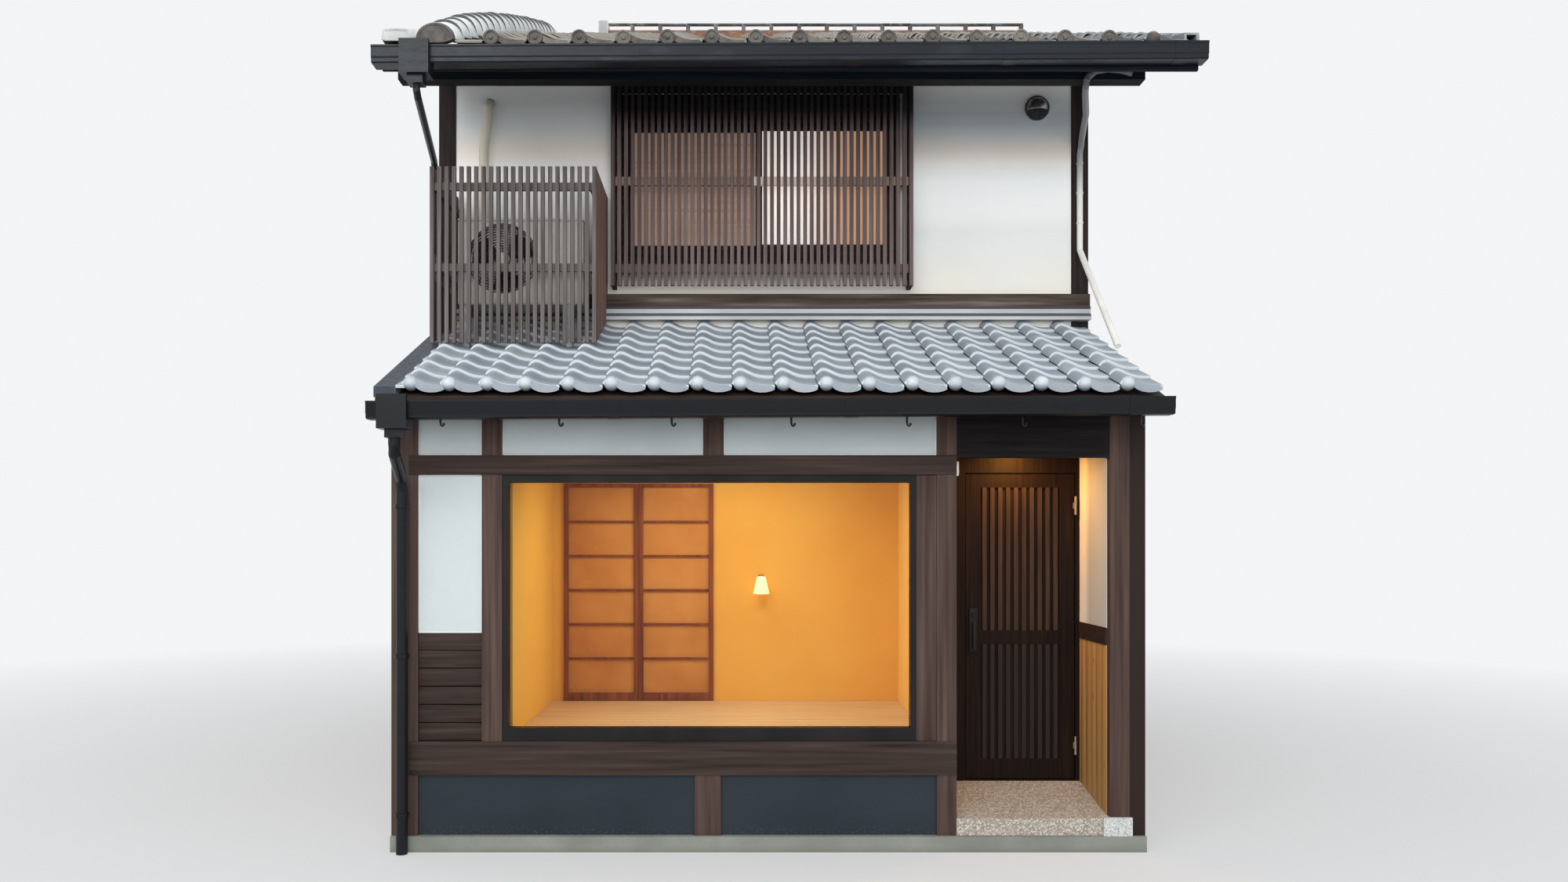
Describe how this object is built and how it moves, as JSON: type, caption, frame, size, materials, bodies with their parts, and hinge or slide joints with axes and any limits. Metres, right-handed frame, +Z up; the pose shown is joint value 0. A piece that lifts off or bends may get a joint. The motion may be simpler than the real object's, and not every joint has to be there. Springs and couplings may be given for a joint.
{
  "type": "townhouse",
  "caption": "Narrow timber row house on two storeys, with a big show window, a recessed slatted door, a lattice window above and tiled roofs.",
  "frame": {"origin": "on the middle line between the party walls, at the foundation's underside", "axes": "+X right along the street front, +Y from the street to the rear, +Z up"},
  "size_m": [4.882, 8.8535, 6.7838],
  "materials": {
    "concrete": "rough cast concrete",
    "screed": "smooth concrete",
    "washed_pebbles": "exposed pebbles in mortar",
    "cut_stone": "dressed granite",
    "clay_plaster": "matte plaster",
    "white_plaster": "smooth lime plaster",
    "dark_wood": "dark stained, matte",
    "navy_boards": "blackened, matte",
    "pale_wood": "planed, oiled",
    "pine": "knotty, oiled",
    "slat_wood": "planed, oiled",
    "sash_wood": "planed, oiled",
    "room_plaster": "matte plaster",
    "weathered_wood": "bare, weathered",
    "lattice_wood": "stained, weathered",
    "black_metal": "satin powder coat",
    "pane": "clear float glass",
    "screen_paper": "paper on wooden bars",
    "lamp_shade": "translucent",
    "hinge_steel": "satin",
    "new_tiles": "smoked clay, silvery",
    "old_tiles": "smoked clay, weathered",
    "flashing_metal": "matte",
    "gutter_plastic": "charcoal",
    "unit_metal": "ivory coat",
    "galvanised": "galvanised",
    "cover_plastic": "beige",
    "conduit_plastic": "off-white"
  },
  "bodies": {
    "house": {"foundation": "concrete", "ground_floor": "screed", "porch_floor": "washed_pebbles", "party_wall_left": "clay_plaster", "party_wall_right": "clay_plaster", "rear_wall": "white_plaster", "rear_beams": "dark_wood", "rear_windows": "sash_wood", "front_posts": "dark_wood", "front_beams": "dark_wood", "plaster_panels": "white_plaster", "bay_boards": "dark_wood", "base_panels": "navy_boards", "window_frame": "black_metal", "window_glass": "pane", "display_floor": "pale_wood", "room_walls": "room_plaster", "ceilings": "pine", "shoji_screens": "screen_paper", "wall_lamp": "lamp_shade", "porch_dado": "pine", "porch_rail": "dark_wood", "porch_header": "dark_wood", "post_stone": "cut_stone", "door_frame": "dark_wood", "hinge_pins": "hinge_steel", "upper_floor": "pale_wood", "lower_roof_boards": "dark_wood", "lower_roof_tiles": "new_tiles", "roof_flashing": "flashing_metal", "upper_beam": "weathered_wood", "upper_posts": "dark_wood", "upper_wall": "white_plaster", "window_casing": "dark_wood", "sliding_sashes": "sash_wood", "window_lattice": "lattice_wood", "cage_front": "lattice_wood", "cage_left": "lattice_wood", "cage_right": "lattice_wood", "outdoor_unit": "unit_metal", "unit_stand": "galvanised", "vent_hood": "galvanised", "pipe_cover": "cover_plastic", "conduit": "conduit_plastic", "eave_beam": "dark_wood", "upper_roof_boards": "dark_wood", "upper_roof_tiles": "old_tiles", "ridge_cap": "old_tiles", "gutters": "gutter_plastic", "rain_hoppers": "gutter_plastic", "downpipes": "gutter_plastic"},
    "door": {"door_leaf": "dark_wood", "door_slats": "slat_wood", "door_lock": "black_metal", "door_hinges": "hinge_steel"}
  },
  "joints": [
    {"name": "door_hinge", "type": "hinge", "parent": "house", "child": "door", "pos_m": [2.0525, -2.793, 1.332], "axis": [0, 0, 1], "range_deg": [0, 90]}
  ]
}
